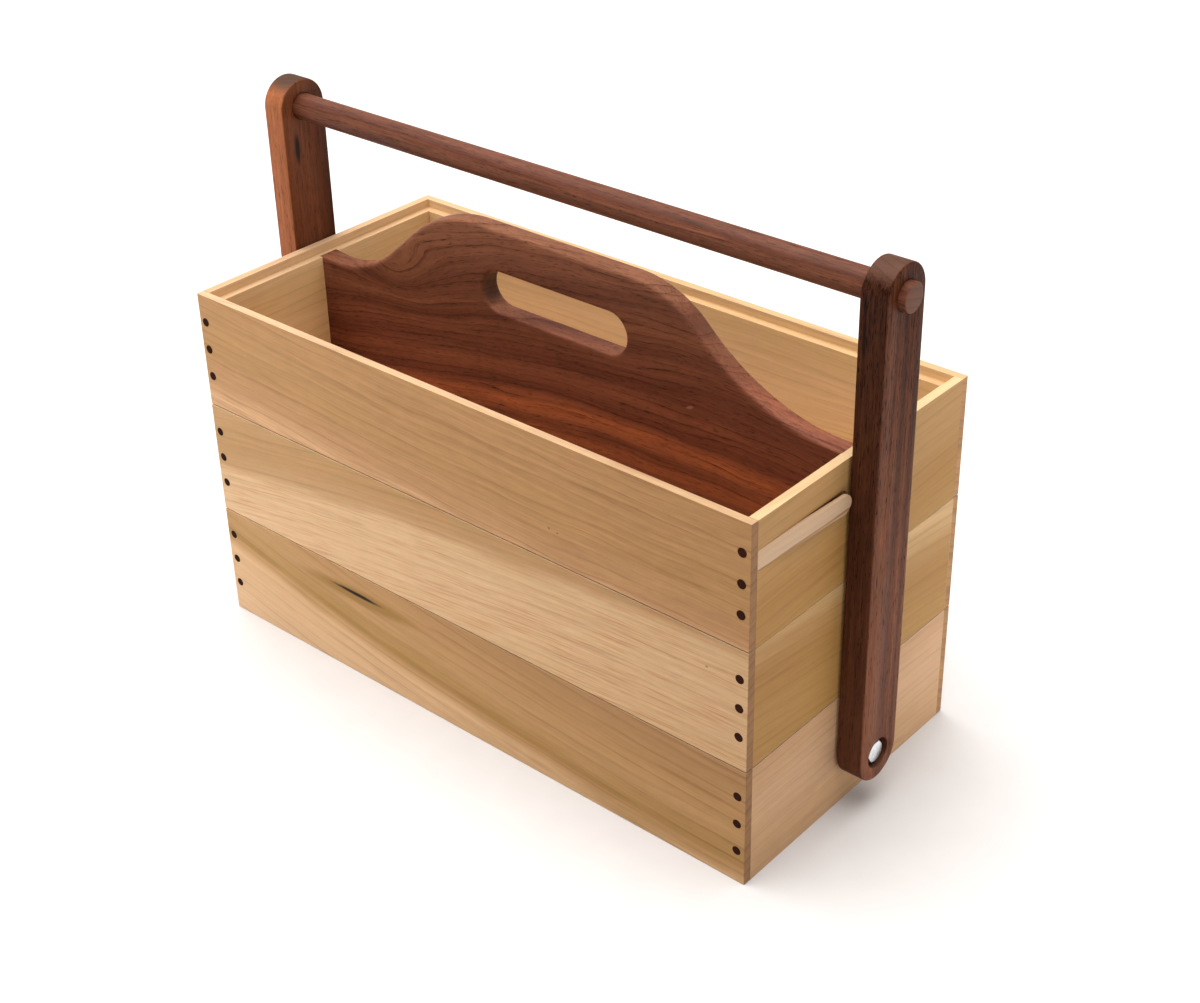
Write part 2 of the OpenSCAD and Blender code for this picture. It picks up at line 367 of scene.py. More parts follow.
def poplar_boards():
    """One material for each board of each tray: {(tray, board): material}."""
    made = {}

    def board(tray, part, stops, seed, **settings):
        low, high = box_mm(f"{tray}_tray_{part}")
        is_long = part in ("front", "back")
        made[tray, part] = wood(
            f"poplar_{tray}_{part}",
            "xzy" if is_long else "yzx",
            stops,
            BACK_END if part == "back" else POPLAR_END,
            base=low.z,
            face=max(abs(low.y), abs(high.y)) if is_long else max(abs(low.x), abs(high.x)),
            tints=[("z", RIM_PAINTED_LIGHT)],
            inside=INSIDE_PAINTED_LIGHT,
            seed=seed,
            **settings,
        )

    # fade on these boards is painted shade: darker and warmer towards one end, as the light falls off
    board(
        "top", "front", HONEY, 1.3, line=(17.0, -0.035, 0.0001), warp=11.0, ring=8.5, ring_strength=0.24,
        streak=0.32, fade=0.31, fleck="#a3784c",
        marks=[(88.0, 25.0, 1.6, 0.7, -0.1, "#6b4a2c"), (95.0, 24.0, 1.2, 0.6, 0.0, "#6b4a2c")],
    )
    board(
        "middle", "front", PINK, 5.1, line=(70.0, 0.1, -0.00015), warp=6.0, ring=7.0, ring_strength=0.2,
        streak=0.22, fade=0.36, fleck="#b57f56", marks=[(213.0, 66.0, 1.4, 0.9, 0.0, "#8a6340")],
    )
    board(
        "bottom", "front", DIAGONAL, 8.7, line=(24.0, -0.111, 0.00021), warp=8.0, ring=10.0,
        ring_strength=0.28, streak=0.22, fade=0.3,
        marks=[(-98.0, 70.0, 76.0, 8.5, 0.0, "#95703c"), (-103.0, 71.5, 32.0, 2.1, 0.0, "#1c1108")],
    )
    board("top", "back", AMBER, 11.2, line=(10.0, 0.03, 0.0), warp=12.0, ring=7.0)
    board("middle", "back", PALE, 14.9, line=(30.0, -0.05, 0.0001), warp=14.0, ring=9.0)
    board("bottom", "back", HONEY, 17.4, line=(40.0, 0.08, -0.0001), warp=12.0, ring=8.0)
    board("top", "right_end", OLIVE, 21.0, line=(10.0, 0.05, 0.0), warp=8.0, ring=9.0, fade=-0.3)
    board("middle", "right_end", OLIVE_BANDED, 24.6, line=(34.0, -0.11, 0.0), warp=9.0, ring=8.0, fade=-0.5)
    board("bottom", "right_end", PALE, 27.3, line=(30.0, -0.03, 0.0), warp=8.0, ring=6.5, fade=-0.72)
    board("top", "left_end", AMBER, 31.8, line=(0.0, 0.02, 0.0), warp=8.0, ring=9.0)
    board("middle", "left_end", PALE, 34.1, line=(30.0, -0.06, 0.0), warp=10.0, ring=8.0)
    board("bottom", "left_end", OLIVE, 37.7, line=(40.0, 0.05, 0.0), warp=9.0, ring=8.0)
    return made


ARM_TONES = [
    (-60, "#7c4931"), (-12, "#855137"), (-4, "#683e2b"), (2, "#7f4d34"), (8, "#643b27"), (14, "#87533d"),
    (60, "#764733"),
]
LEFT_ARM_TONES = [(-60, "#975835"), (-8, "#9f5e39"), (4, "#834b2e"), (12, "#673925"), (60, "#573122")]
BAR_TONES = [
    (-40, "#57301f"), (-6, "#5c3424"), (-1, "#6b3f2b"), (3, "#532c1e"), (9, "#643a29"), (40, "#4d2a1e"),
]
DIVIDER_TONES = [
    (-70, "#69331e"), (-34, "#60301d"), (-20, "#773d22"), (-12, "#582918"), (-6, "#7d4227"), (0, "#894829"),
    (6, "#743c24"), (12, "#58291a"), (27, "#6e3b27"), (40, "#572b1d"), (56, "#6c3c29"), (68, "#552c1d"),
    (80, "#6f412c"), (98, "#5e3423"), (125, "#734630"),
]
MAPLE_TONES = [(-20, "#c2a283"), (-1, "#c6a88a"), (1, "#96704f"), (2.4, "#c5a788"), (20, "#bf9d7d")]
PLY_TONES = [(-140, "#cda777"), (-40, "#d3ae80"), (30, "#c8a070"), (150, "#cfaa7b")]


def zinc(name):
    """Bright zinc plating: a cool, slightly mottled metal."""
    g = Graph(name)
    place = g.coordinates("Object")
    x, y, z = g.split(place)
    spangle = g.noise(g.vector(x / MM / 1.6, y / MM / 1.6, z / MM / 1.6), 3.0, 0.6)
    scratch = g.noise(g.vector(x / MM / 0.3, y / MM / 0.3, z / MM / 4.0), 2.0)
    colour = g.mix(g.step(spangle, -0.15, 0.2), tone("#dbe3ea"), tone("#f2f6f9"))
    g.feed(g.shader.inputs["Base Color"], colour)
    g.shader.inputs["Metallic"].default_value = 1.0
    g.feed(g.shader.inputs["Roughness"], 0.34 + spangle * 0.25 + scratch * 0.1)
    g.feed(g.shader.inputs["Normal"], g.bump(spangle + scratch * 0.5, 0.2, 0.05 * MM))
    return g.material


def plywood(name, seed):
    """Poplar plywood: quiet face veneer, and five plies on the edges."""
    g = Graph(name)
    x, y, z = g.split(g.coordinates("Object"))
    facing = g.split(g.coordinates("Normal"))
    along, across, up = x / MM, y / MM, z / MM
    drift = g.noise(g.vector(along / 160 + seed, across / 60, seed), 2.0) * 60.0
    growth = across + drift
    face = g.ramp(growth, PLY_TONES)
    turn = g.math("FRACT", growth / 13.0)
    fibre = g.noise(g.vector(along / 24, across / 0.9, seed), 3.0, 0.6)
    shade = 1.0 + fibre * 0.16 - g.math("POWER", turn, 4.0) * 0.12
    face = g.mix(1.0, face, g.vector(shade, shade, shade), "MULTIPLY")
    ply = g.step(g.math("PINGPONG", up, 1.2) / 1.2, 0.35, 0.65)
    edge = g.mix(ply, tone("#b98d5f"), tone("#8a6340"))
    edge_shade = 1.0 + g.noise(g.vector(along / 2, across / 2, up / 0.4), 3.0) * 0.4
    edge = g.mix(1.0, edge, g.vector(edge_shade, edge_shade, edge_shade), "MULTIPLY")
    flat = g.step(g.math("ABSOLUTE", facing[2]), 0.4, 0.8)
    g.feed(g.shader.inputs["Base Color"], g.mix(flat, edge, face))
    g.feed(g.shader.inputs["Roughness"], 0.5 + fibre * 0.15)
    g.feed(g.shader.inputs["Normal"], g.bump(fibre, 0.2, 0.1 * MM))
    return g.material


# ---- Mesh builders --------------------------------------------------------------------------


def finish_mesh(bm, name, material, sharp_angle=35.0):
    """A smooth-shaded object from bm, with its sharper edges kept crisp."""
    bmesh.ops.remove_doubles(bm, verts=bm.verts, dist=1e-7)
    bmesh.ops.dissolve_degenerate(bm, edges=bm.edges, dist=1e-7)
    bmesh.ops.recalc_face_normals(bm, faces=bm.faces)
    mesh = bpy.data.meshes.new(name)
    bm.to_mesh(mesh)
    bm.free()
    mesh.polygons.foreach_set("use_smooth", [True] * len(mesh.polygons))
    mesh.set_sharp_from_angle(angle=math.radians(sharp_angle))
    mesh.materials.append(material)
    made = bpy.data.objects.new(name, mesh)
    bpy.context.scene.collection.objects.link(made)
    return made


def arc(centre, radius, start, stop, steps):
    """Points on an arc, in degrees, from start to stop."""
    angles = [math.radians(start + (stop - start) * k / steps) for k in range(steps + 1)]
    return [(centre[0] + radius * math.cos(a), centre[1] + radius * math.sin(a)) for a in angles]


def circle(centre, radius, steps=64):
    return arc(centre, radius, 0, 360, steps)[:-1]


def inset(loop, distances):
    """The counter-clockwise loop with each point moved inwards, square to its two edges."""
    if not hasattr(distances, "__len__"):
        distances = [distances] * len(loop)
    moved = []
    for i, (point, distance) in enumerate(zip(loop, distances)):
        before, after = Vector(loop[i - 1]), Vector(loop[(i + 1) % len(loop)])
        here = Vector(point)
        first, second = (here - before).normalized(), (after - here).normalized()
        normal = Vector((-first.y, first.x)) + Vector((-second.y, second.x))
        normal /= 1 + first.dot(second)
        moved.append(tuple(here + normal * distance))
    return moved


def rounded(loop, low, high, radii, steps=5):
    """Stations of a slab with quarter-round edges, from its low face to its high face.

    radii is one radius or one for each point; negative radii round the edges of a hole.
    """
    if not hasattr(radii, "__len__"):
        radii = [radii] * len(loop)
    stations = []
    for k in range(steps + 1):
        a = math.pi / 2 * k / steps
        shift = [r * (1 - math.sin(a)) for r in radii]
        rise = [abs(r) * (1 - math.cos(a)) for r in radii]
        ring = inset(loop, shift)
        stations.append([(u, v, low + up) for (u, v), up in zip(ring, rise)])
    mirrored = [[(u, v, low + high - h) for u, v, h in ring] for ring in reversed(stations)]
    return stations + mirrored


def at(loop, height):
    """The loop as one station at a height."""
    return [(u, v, height) for u, v in loop]


def add_slab(bm, outer, holes, place):
    """Adds a solid made of stations: an outer wall, walls of holes, and a flat cap at each end.

    A station is a list of (u, v, height), and place turns one of them into a point in metres.
    """
    ends = [[], []]
    for stations in [outer, *holes]:
        rings = [[bm.verts.new(place(*spot)) for spot in station] for station in stations]
        for low, high in zip(rings, rings[1:]):
            for i in range(len(low)):
                j = (i + 1) % len(low)
                bm.faces.new((low[i], low[j], high[j], high[i]))
        ends[0].append((rings[0], stations[0]))
        ends[1].append((rings[-1], stations[-1]))
    for end in ends:
        verts = [v for ring, _ in end for v in ring]
        flat = [[Vector((u, v, 0)) for u, v, _ in station] for _, station in end]
        for triangle in tessellate_polygon(flat):
            if len({verts[i] for i in triangle}) == 3:
                bm.faces.new([verts[i] for i in triangle])


def slab(name, outer, holes, place, material, sharp_angle=35.0):
    """One solid made of stations, as an object."""
    bm = bmesh.new()
    add_slab(bm, outer, holes, place)
    return finish_mesh(bm, name, material, sharp_angle)


def grid_solid(name, xs, ys, zs, missing, weight, material, cutters=()):
    """A board from a grid of cells in millimetres, without the missing ones, with eased edges.

    weight gives how much of the easing width an edge takes, from its middle in millimetres. The cutters are
    solids taken out of the board.
    """
    bm = bmesh.new()
    counts = (len(xs) - 1, len(ys) - 1, len(zs) - 1)
    corners = {}

    def corner(i, j, k):
        if (i, j, k) not in corners:
            corners[i, j, k] = bm.verts.new((xs[i] * MM, ys[j] * MM, zs[k] * MM))
        return corners[i, j, k]

    def filled(cell):
        inside = all(0 <= c < n for c, n in zip(cell, counts))
        return inside and not missing(*cell)

    for i in range(counts[0]):
        for j in range(counts[1]):
            for k in range(counts[2]):
                if not filled((i, j, k)):
                    continue
                for axis in range(3):
                    for side in (0, 1):
                        neighbour = [i, j, k]
                        neighbour[axis] += 2 * side - 1
                        if filled(tuple(neighbour)):
                            continue
                        a, b = [n for n in range(3) if n != axis]
                        ring = []
                        for da, db in ((0, 0), (1, 0), (1, 1), (0, 1)):
                            spot = [i, j, k]
                            spot[axis] += side
                            spot[a] += da
                            spot[b] += db
                            ring.append(corner(*spot))
                        bm.faces.new(ring)
    bmesh.ops.recalc_face_normals(bm, faces=bm.faces)
    bmesh.ops.dissolve_limit(bm, angle_limit=math.radians(1), verts=bm.verts, edges=bm.edges)
    made = finish_mesh(bm, name, material)
    for cutter in cutters:
        cut(made, cutter)
    bm = bmesh.new()
    bm.from_mesh(made.data)
    layer = bm.edges.layers.float.new("bevel_weight_edge")
    for e in bm.edges:
        if len(e.link_faces) == 2 and e.calc_face_angle_signed(0) > 0.5:
            middle = (e.verts[0].co + e.verts[1].co) / 2 / MM
            e[layer] = weight(*middle)
    bm.to_mesh(made.data)
    bm.free()
    bevel = made.modifiers.new("eased edges", "BEVEL")
    bevel.limit_method = "WEIGHT"
    bevel.width = EASE * MM
    bevel.segments = 3
    return made


def cut(target, cutter):
    """Takes the cutter's solid out of the target's mesh."""
    modifier = target.modifiers.new("cut", "BOOLEAN")
    modifier.operation = "DIFFERENCE"
    modifier.solver = "EXACT"
    modifier.object = cutter
    solid = target.evaluated_get(bpy.context.evaluated_depsgraph_get())
    mesh = bpy.data.meshes.new_from_object(solid)
    target.modifiers.remove(modifier)
    target.data = mesh
    bpy.data.objects.remove(cutter)


def settle(piece, body, node):
    """Rides the piece on its body in place of its CAD node."""
    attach(piece, body)
    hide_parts(node)
    return piece


# ---- Trays ----------------------------------------------------------------------------------


def box_mm(node):
    low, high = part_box(node)
    return low / MM, high / MM


def build_long_board(tray, part, material):
    """Front or back board: lapped over the ends, with the rim rabbet along its inner top edge."""
    low, high = box_mm(f"{tray}_tray_{part}")
    end_low = box_mm(f"{tray}_tray_right_end")[0]
    is_front = part == "front"
    lap = end_low.y if is_front else -end_low.y
    xs = [low.x, -end_low.x, end_low.x, high.x]
    inward = SET_BACK[tray]
    ys = [low.y + inward, lap, high.y] if is_front else [low.y, lap, high.y - inward]
    inner = 1 if is_front else 0
    is_bottom = tray == "bottom"
    foot = low.z if is_bottom else low.z + SEAM
    zs = [foot, low.z + PANEL, high.z - RIM_DEPTH, high.z]

    def missing(i, j, k):
        in_lap = j == inner and i != 1
        in_rim = j == inner and k == 2
        in_panel = j == inner and k == 0 and is_bottom
        return in_lap or in_rim or in_panel

    def weight(x, y, z):
        at_lap = abs(y - lap) < 0.1 and abs(x) > xs[2] and low.z + 1 < z < high.z - 1
        inside = abs(abs(y) - abs(lap)) > 0.1 and abs(y) < abs(lap) and z < high.z - RIM_DEPTH - 1
        if at_lap or inside:
            return LAP_EASE
        return RIM_EASE if z > high.z - RIM_DEPTH - 1 else 1.0

    made = grid_solid(f"{tray}_{part}_board", xs, ys, zs, missing, weight, material)
    return settle(made, f"{tray}_tray", f"{tray}_tray_{part}")


def catch_place(side):
    """Turns a catch's own (along, up, depth) into the frame, about its root on the tray's end."""
    low, high = box_mm(f"{side}_catch")
    sign = SIDES[side]
    wall = box_mm(f"top_tray_{side}_end")[1 if sign > 0 else 0].x
    middle = (low.z + high.z) / 2
    length = high.y - low.y
    angle = math.asin(CATCH_PROUD / length)
    root = low.y

    def place(along, up, depth, turned=True):
        a = angle if turned else 0.0
        x = wall + sign * (along * math.sin(a) - depth * math.cos(a))
        y = root + along * math.cos(a) + depth * math.sin(a)
        return (x * MM, y * MM, (middle + up) * MM)

    return place, length, (high.z - low.z) / 2


def strip_outline(length, half, start=0.0):
    """A strip along u with a round tip."""
    return [(start, -half)] + arc((length - half, 0), half, -90, 90, 20) + [(start, half)]


def pocket_cutter(side, material):
    """The solid of a catch's pocket in the outer face of a top tray's end."""
    place, length, half = catch_place(side)
    outline = strip_outline(length + PAST, half + POCKET_GAP, -1.5)
    stations = [at(outline, -5.0), at(outline, POCKET_DEPTH)]
    return slab("pocket", stations, [], lambda u, v, h: place(u, v, h, turned=False), material)


def dado_cutter(side, rim, material):
    """The solid of the groove that holds the divider in a top tray's end, up to the rim."""
    low, high = box_mm("divider")
    sign = SIDES[side]
    wall = sign * high.x
    near, far = sorted((wall - sign * DADO_OPEN, wall + sign * DADO_GAP))
    front, back = low.y - DADO_GAP, high.y + DADO_GAP
    groove = [(near, front), (far, front), (far, back), (near, back)]
    stations = [at(groove, low.z - 1), at(groove, rim + 1)]
    return slab("dado", stations, [], lambda u, v, h: (u * MM, v * MM, h * MM), material)


def build_end_board(tray, side, material):
    """End board between the laps, with its rim rabbet and what is cut into its outer face."""
    low, high = box_mm(f"{tray}_tray_{side}_end")
    sign = SIDES[side]
    middle = (low.x + high.x) / 2
    xs = [low.x, middle, high.x]
    ys = [low.y, high.y]
    inner = 0 if sign > 0 else 1
    is_bottom = tray == "bottom"
    foot = low.z if is_bottom else low.z + SEAM
    zs = [foot, low.z + PANEL, high.z - RIM_DEPTH, high.z]

    def missing(i, j, k):
        return i == inner and (k == 2 or (k == 0 and is_bottom))

    def weight(x, y, z):
        at_lap = abs(abs(y) - high.y) < 0.1 and low.z + 1 < z < high.z - 1
        if at_lap:
            return LAP_EASE
        return RIM_EASE if z > low.z + 1 else 1.0

    cutters = []
    if tray == "top":
        cutters = [pocket_cutter(side, material), dado_cutter(side, high.z, material)]
    if is_bottom:
        bore = circle(pivot_centre(), BOLT_RADIUS + 0.05, 48)
        stations = [at(bore, low.x - PAST), at(bore, high.x + PAST)]
        cutters = [slab("bore", stations, [], lambda u, v, h: (h * MM, u * MM, v * MM), material)]
    name = f"{tray}_{side}_end_board"
    made = grid_solid(name, xs, ys, zs, missing, weight, material, cutters)
    return settle(made, f"{tray}_tray", f"{tray}_tray_{side}_end")


def build_panel(tray, material):
    low, high = box_mm(f"{tray}_tray_panel")
    made = grid_solid(
        f"{tray}_panel",
        [low.x, high.x],
        [low.y, high.y],
        [low.z, high.z],
        lambda i, j, k: False,
        lambda x, y, z: 0.5,
        material,
    )
    return settle(made, f"{tray}_tray", f"{tray}_tray_panel")


def build_pins(tray, material):
    """The walnut pins at each corner, flush with the face, each with its edge just eased."""
    low, high = box_mm(f"{tray}_tray_pins")
    base = box_mm(f"{tray}_tray_front")[0].z
    bm = bmesh.new()
    for x in (low.x + PIN_RADIUS, high.x - PIN_RADIUS):
        for sign in (-1, 1):
            for k in range(PINS_PER_CORNER):
                z = base + PIN_LOW + k * PIN_PITCH
                stations = [
                    at(circle((x, z), PIN_RADIUS * PIN_FACE, 32), high.y),
                    at(circle((x, z), PIN_RADIUS, 32), high.y - PIN_EASE),
                    at(circle((x, z), PIN_RADIUS, 32), high.y - PIN_LENGTH),
                ]
                add_slab(bm, stations, [], lambda u, v, h, s=sign: (u * MM, s * h * MM, v * MM))
    made = finish_mesh(bm, f"{tray}_pins", material)
    return settle(made, f"{tray}_tray", f"{tray}_tray_pins")


# ---- Divider --------------------------------------------------------------------------------

SHOULDERS = {
    # side: (where the shoulder starts, slope in degrees, shoulder radius, foot radius)
    "left": (69.0, 41.3, 96.0, 92.0),
    "right": (64.0, 44.0, 80.0, 160.0),
}
CREST = (-60, -40, -20, 0, 20, 40, 58)  # points along the flat of its top
HAND_HOLE = (-2.0, 106.0, 128.0, 30.0)  # middle, height above the divider's foot, length, height
HOLE_ROUND = 2.8
DIVIDER_ROUND = 4.4
DIVIDER_EASE = 1.6  # what is left of the round-over at the end boards
ROUND_FADE = 30.0  # length over which it runs out


def s_curve(side, top, end):
    """The falling curve of one shoulder, from the top of the divider down to its end height."""
    start, slope, shoulder, foot = SHOULDERS[side]
    a = math.radians(slope)
    straight = (top - end - (shoulder + foot) * (1 - math.cos(a))) / math.sin(a)
    foot_x = start + (shoulder + foot) * math.sin(a) + straight * math.cos(a)
    falling = [(start + u, top - shoulder + v) for u, v in arc((0, 0), shoulder, 90, 90 - slope, 14)]
    landing = [(foot_x + u, end + foot + v) for u, v in arc((0, 0), foot, 270 - slope, 270, 14)]
    return falling + landing


def build_divider(material):
    """Shaped divider: round-over along its top, soft edges in its hand hole."""
    low, high = box_mm("divider")
    rim = box_mm("top_tray_front")[1].z
    top, end = high.z, rim - RIM_DEPTH
    right = s_curve("right", top, end)
    left = [(-x, z) for x, z in reversed(s_curve("left", top, end))]
    crest = [(x, top) for x in CREST]
    face = [(low.x, low.z), (high.x, low.z), (high.x, end)]
    top_line = [p for p in reversed(left + crest + right) if abs(p[0]) < high.x - 0.5]
    outline = face + top_line + [(low.x, end)]

    def edge_radius(x, z):
        if z < end - 1 or abs(x) > high.x - 1:
            return 0.0
        from_wall = min(1.0, max(0.0, (high.x - 3.0 - abs(x)) / ROUND_FADE))
        return DIVIDER_EASE + (DIVIDER_ROUND - DIVIDER_EASE) * from_wall

    radii = [edge_radius(x, z) for x, z in outline]
    outer = rounded(outline, low.y, high.y, radii, 6)
    hole_x, hole_up, length, height = HAND_HOLE
    half = height / 2
    reach = length / 2 - half
    centre = (hole_x, low.z + hole_up)
    hole = arc((centre[0] + reach, centre[1]), half, -90, 90, 24)
    hole += arc((centre[0] - reach, centre[1]), half, 90, 270, 24)
    made = slab(
        "divider_board",
        outer,
        [rounded(hole, low.y, high.y, -HOLE_ROUND, 5)],
        lambda u, v, h: (u * MM, h * MM, v * MM),
        material,
    )
    return settle(made, "top_tray", "divider")


# ---- Catches --------------------------------------------------------------------------------


def build_catch(side, material):
    """A thin springy strip with a round tip, let into the tray's end at its root."""
    place, length, half = catch_place(side)
    outline = strip_outline(length, half)
    stations = rounded(outline, 0.0, CATCH_THICKNESS, 0.45, 3)
    made = slab(f"{side}_catch_strip", stations, [], place, material)
    return settle(made, f"{side}_catch", f"{side}_catch")


# ---- Handle ---------------------------------------------------------------------------------


def pivot_centre():
    """(y, z) of the pivot, from the middle of a washer."""
    low, high = box_mm("right_spacer_washer")
    return ((low.y + high.y) / 2, (low.z + high.z) / 2)


def bar_centre():
    low, high = box_mm("handle_bar")
    return ((low.y + high.y) / 2, (low.z + high.z) / 2)


def build_arm(side, material):
    """A flat arm with round ends: counterbored for the bolt, bored for the bar."""
    low, high = box_mm(f"{side}_arm")
    sign = SIDES[side]
    inner, outer = (low.x, high.x) if sign > 0 else (-high.x, -low.x)
    radius = (high.y - low.y) / 2
    pivot, bar = pivot_centre(), bar_centre()
    outline = arc(pivot, radius, 180, 360, 36) + arc(bar, radius, 0, 180, 36)
    bar_low, bar_high = box_mm("handle_bar")
    bar_radius = (bar_high.z - bar_low.z) / 2
    floor = outer - COUNTERBORE_DEPTH
    bolt_hole = [
        at(circle(pivot, BOLT_RADIUS + 0.6), inner),
        at(circle(pivot, BOLT_RADIUS + 0.05), inner + 0.5),
        at(circle(pivot, BOLT_RADIUS + 0.05), floor),
        at(circle(pivot, COUNTERBORE_RADIUS), floor),
        at(circle(pivot, COUNTERBORE_RADIUS), outer - 0.6),
        at(circle(pivot, COUNTERBORE_RADIUS + 0.2), outer - 0.2),
        at(circle(pivot, COUNTERBORE_RADIUS + 0.6), outer),
    ]
    bar_hole = rounded(circle(bar, bar_radius + BAR_GAP), inner, outer, -0.5, 3)
    made = slab(
        f"{side}_handle_arm",
        rounded(outline, inner, outer, ARM_ROUND, 5),
        [bolt_hole, bar_hole],
        lambda u, v, h: (sign * h * MM, u * MM, v * MM),
        material,
    )
    return settle(made, "handle", f"{side}_arm")


def build_bar(material):
    low, high = box_mm("handle_bar")
    radius = (high.z - low.z) / 2
    stations = rounded(circle(bar_centre(), radius), low.x, high.x, 0.9, 4)
    made = slab("handle_dowel", stations, [], lambda u, v, h: (h * MM, u * MM, v * MM), material)
    return settle(made, "handle", "handle_bar")


# ---- Pivot hardware -------------------------------------------------------------------------


def hexagon(centre, across_flats, steps_per_side=8, limit=None):
    """A hexagon as a fine loop, cut back to a circle of radius limit where it reaches past it."""
    loop = []
    for k in range(6 * steps_per_side):
        a = 2 * math.pi * k / (6 * steps_per_side)
        from_flat = (a % (math.pi / 3)) - math.pi / 6
        radius = across_flats / 2 / math.cos(from_flat)
        radius = radius if limit is None else min(radius, limit)
        loop.append((centre[0] + radius * math.cos(a), centre[1] + radius * math.sin(a)))
    return loop


def chamfered(centre, across_flats, low, high, both=True):
    """Stations of a hexagonal prism whose corners are turned off at its high end, or at both."""
    turned = across_flats / 2 * 0.96
    # (radius the corners are cut to, depth below the end)
    ends = [(turned, 0.0), (turned + 0.35, 0.18), (turned + 0.75, 0.42), (turned + 1.3, 0.8)]
    if both:
        stations = [at(hexagon(centre, across_flats, limit=r), low + d) for r, d in ends]
    else:
        stations = [at(hexagon(centre, across_flats), low)]
    stations += [at(hexagon(centre, across_flats, limit=r), high - d) for r, d in reversed(ends)]
    return stations


def outward(side, name):
    """(nearest, furthest) distance of a node from the middle of the box, and a place function."""
    low, high = box_mm(f"{side}_{name}")
    sign = SIDES[side]
    near, far = (low.x, high.x) if sign > 0 else (-high.x, -low.x)
    return near, far, lambda u, v, h: (sign * h * MM, u * MM, v * MM)


def build_bolt(side, material):
    """Bolt with a chamfered hexagonal head, and fine rings for a thread at its inner end."""
    tail, face, place = outward(side, "pivot_bolt")
    low, high = box_mm(f"{side}_pivot_bolt")
    flats = high.y - low.y
    pivot = pivot_centre()
    head_base = face - BOLT_HEAD
    bm = bmesh.new()
    add_slab(bm, chamfered(pivot, flats, head_base, face, both=False), [], place)
    shank = BOLT_RADIUS - BOLT_PLAY
    stations = [at(circle(pivot, BOLT_RADIUS - BOLT_TIP, 40), tail)]
    thread_start = tail + BOLT_TIP
    thread_end = tail + THREAD_LENGTH
    for k in range(int((thread_end - thread_start) / THREAD_PITCH)):
        x = thread_start + k * THREAD_PITCH
        stations.append(at(circle(pivot, BOLT_RADIUS - THREAD_DEPTH, 40), x))
        stations.append(at(circle(pivot, shank, 40), x + THREAD_PITCH * 0.5))
    stations.append(at(circle(pivot, shank, 40), thread_end))
    stations.append(at(circle(pivot, shank, 40), head_base + 0.5))
    add_slab(bm, stations, [], place)
    made = finish_mesh(bm, f"{side}_bolt", material)
    return settle(made, "bottom_tray", f"{side}_pivot_bolt")


def build_washer(side, name, material):
    near, far, place = outward(side, name)
    low, high = box_mm(f"{side}_{name}")
    pivot = pivot_centre()
    outer = rounded(circle(pivot, (high.z - low.z) / 2), near, far, 0.25, 3)
    hole = rounded(circle(pivot, BOLT_RADIUS + 0.3), near, far, -0.2, 2)
    made = slab(f"{side}_{name}_disc", outer, [hole], place, material)
    return settle(made, "bottom_tray", f"{side}_{name}")


def build_nut(side, material):
    near, far, place = outward(side, "lock_nut")
    low, high = box_mm(f"{side}_lock_nut")
    pivot = pivot_centre()
    outer = chamfered(pivot, high.y - low.y, near, far)
    hole = rounded(circle(pivot, BOLT_RADIUS + 0.05), near, far, -0.5, 3)
    made = slab(f"{side}_nut", outer, [hole], place, material)
    return settle(made, "bottom_tray", f"{side}_lock_nut")


# ---- Studio ---------------------------------------------------------------------------------

FLOOR_REACH = 14.0  # metres from the middle to an edge
WORLD_LIGHT = 0.55  # strength that lights the box
WORLD_SEEN = 1.0  # strength that the camera sees


def build_floor():
    """A wide flat floor, plain and pale."""
    g = Graph("studio_floor")
    x, y, z = g.split(g.coordinates("Object"))
    grain = g.noise(g.vector(x * 40, y * 40, z), 3.0)
    g.feed(g.shader.inputs["Base Color"], g.mix(g.step(grain, -0.4, 0.4), tone("#cac7c6"), tone("#cdcac9")))
    g.feed(g.shader.inputs["Roughness"], 0.75 + grain * 0.1)
    g.shader.inputs["Specular IOR Level"].default_value = 0.2
    bm = bmesh.new()
    signs = ((-1, -1), (1, -1), (1, 1), (-1, 1))
    bm.faces.new([bm.verts.new((sx * FLOOR_REACH, sy * FLOOR_REACH, 0)) for sx, sy in signs])
    floor = finish_mesh(bm, "studio_floor", g.material)


def soft_sun(name, come_from, strength, spread, colour):
    """An even light from one direction, spread like a softbox."""
    light = bpy.data.lights.new(name, "SUN")
    light.energy = strength
    light.angle = math.radians(spread)
    light.color = colour
    made = bpy.data.objects.new(name, light)
    made.rotation_euler = Vector(come_from).to_track_quat("Z", "Y").to_euler()
    bpy.context.scene.collection.objects.link(made)


def build_studio():
    """An even white world, brighter to the camera than it lights, and two soft suns."""
    build_floor()
    world = bpy.data.worlds.new("studio")
    world.use_nodes = True
    background = world.node_tree.nodes["Background"]
    background.inputs["Color"].default_value = (1.0, 1.0, 1.0, 1.0)
    background.inputs["Strength"].default_value = WORLD_LIGHT
    seen = world.node_tree.nodes.new("ShaderNodeLightPath").outputs["Is Camera Ray"]
    brighter = world.node_tree.nodes.new("ShaderNodeMapRange")
    brighter.inputs["To Min"].default_value = WORLD_LIGHT
    brighter.inputs["To Max"].default_value = WORLD_SEEN
    world.node_tree.links.new(seen, brighter.inputs["Value"])
    world.node_tree.links.new(brighter.outputs["Result"], background.inputs["Strength"])
    bpy.context.scene.world = world
    soft_sun("overhead", (-0.18, -0.04, 1.0), 5.4, 70.0, (1.0, 0.99, 0.97))
    soft_sun("side", (-1.0, -0.35, 0.7), 0.25, 40.0, (1.0, 0.98, 0.95))
    bpy.context.scene.view_settings.view_transform = "Standard"


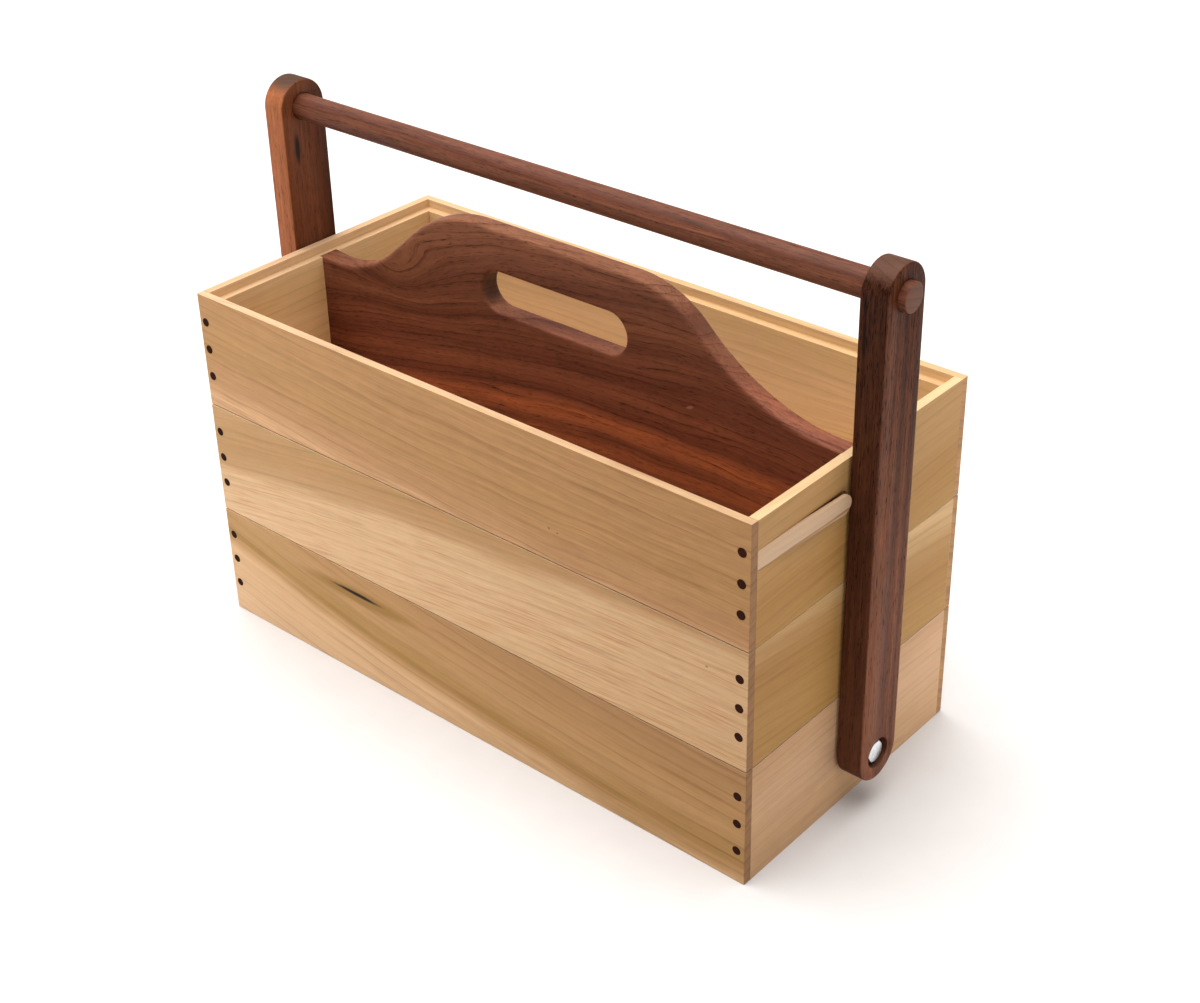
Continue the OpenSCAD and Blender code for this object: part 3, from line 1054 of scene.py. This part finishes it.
def build_camera():
    """The camera: aim point, distance and angles of the viewing direction, with a slight roll."""
    azimuth, elevation, roll = (math.radians(a) for a in (41.4, 29.35, -1.33))
    aim = Vector((1.2, 34.0, 177.3)) * MM
    distance = 1.358
    flat = math.cos(elevation)
    back = Vector((math.sin(azimuth) * flat, -math.cos(azimuth) * flat, math.sin(elevation)))
    level = Vector((math.cos(azimuth), math.sin(azimuth), 0.0))
    upright = back.cross(level)
    right = level * math.cos(roll) + upright * math.sin(roll)
    up = upright * math.cos(roll) - level * math.sin(roll)
    data = bpy.data.cameras.new("camera")
    data.sensor_width = 36.0
    data.lens = 57.75
    data.shift_y = -0.06
    camera = bpy.data.objects.new("camera", data)
    turn = Matrix((right, up, back)).transposed().to_4x4()
    camera.matrix_world = Matrix.Translation(aim + back * distance) @ turn
    bpy.context.scene.collection.objects.link(camera)
    bpy.context.scene.camera = camera


# ---- Everything -----------------------------------------------------------------------------


def build_trays():
    boards = poplar_boards()
    pin_wood = wood(
        "walnut_pins", "yzx", [(-10, "#3a2219"), (10, "#432a1f")], "#2c140c", gloss=0.02, ring=1.4,
        ring_strength=0.3, warp=2.0,
    )
    for index, tray in enumerate(("bottom", "middle", "top")):
        for part in ("front", "back"):
            build_long_board(tray, part, boards[tray, part])
        for side in SIDES:
            build_end_board(tray, side, boards[tray, f"{side}_end"])
        build_panel(tray, plywood(f"plywood_{tray}", 3.0 * index))
        build_pins(tray, pin_wood)


def build_divider_and_handle():
    walnut = dict(pores=0.42, roughness=0.5)
    arm = dict(warp=8.0, ring_strength=0.2, streak=0.6, face=265.0, **walnut)
    # The divider's z tint is painted light: its top and the round-over along it made paler and lighter
    divider_wood = wood(
        "walnut_divider", "xzy", DIVIDER_TONES, WALNUT_END, base=box_mm("divider")[0].z,
        line=(30.0, 0.1, -0.00032), warp=20.0, ring=6.0, ring_strength=0.6, streak=0.55, seed=2.2,
        eye=(-150.0, 96.0, 42.0, 26.0, 34.0), marks=[(115.0, 74.0, 4.0, 1.5, 0.35, "#7a4e3b")],
        tints=[("z", (1.65, 1.8, 1.85))], **walnut,
    )
    build_divider(divider_wood)
    # The right arm's fade is painted sheen and shade: lighter and greyer towards its foot, darker and warmer
    # towards its top
    right_wood = wood(
        "walnut_right_arm", "zyx", ARM_TONES, "#533629", line=(4.0, 0.01, 0.0), ring=5.0,
        tints=[("y", (0.37, 0.35, 0.33))], fade=0.8, gloss=0.08, seed=6.4, **arm,
    )
    build_arm("right", right_wood)
    left_wood = wood(
        "walnut_left_arm", "zyx", LEFT_ARM_TONES, "#4a2f20", ring=6.0, tints=[("x", (0.47, 0.45, 0.47))],
        seed=12.4, marks=[(342.0, -9.0, 15.0, 3.4, 0.0, "#25140d")], **arm,
    )
    build_arm("left", left_wood)
    bar_wood = wood(
        "walnut_bar", "xzy", BAR_TONES, "#6a4534", base=bar_centre()[1], warp=7.0, ring=7.0,
        ring_strength=0.35, streak=0.85, seed=3.9, **walnut,
    )
    build_bar(bar_wood)


def build_catches():
    foot = box_mm("divider")[0].z
    for index, side in enumerate(SIDES):
        maple = wood(
            f"maple_{side}_catch", "yzx", MAPLE_TONES, "#c9a685", base=foot + CATCH_UP,
            line=(-2.0, 0.05, 0.0), face=246.0, warp=6.0, ring=5.0, ring_strength=0.12, streak=0.06,
            seed=1.0 + index,
        )
        build_catch(side, maple)


def build_hardware():
    plating = zinc("bright_zinc")
    for side in SIDES:
        build_bolt(side, plating)
        build_washer(side, "spacer_washer", plating)
        build_washer(side, "nut_washer", plating)
        build_nut(side, plating)


build_camera()
build_studio()
build_trays()
build_divider_and_handle()
build_catches()
build_hardware()
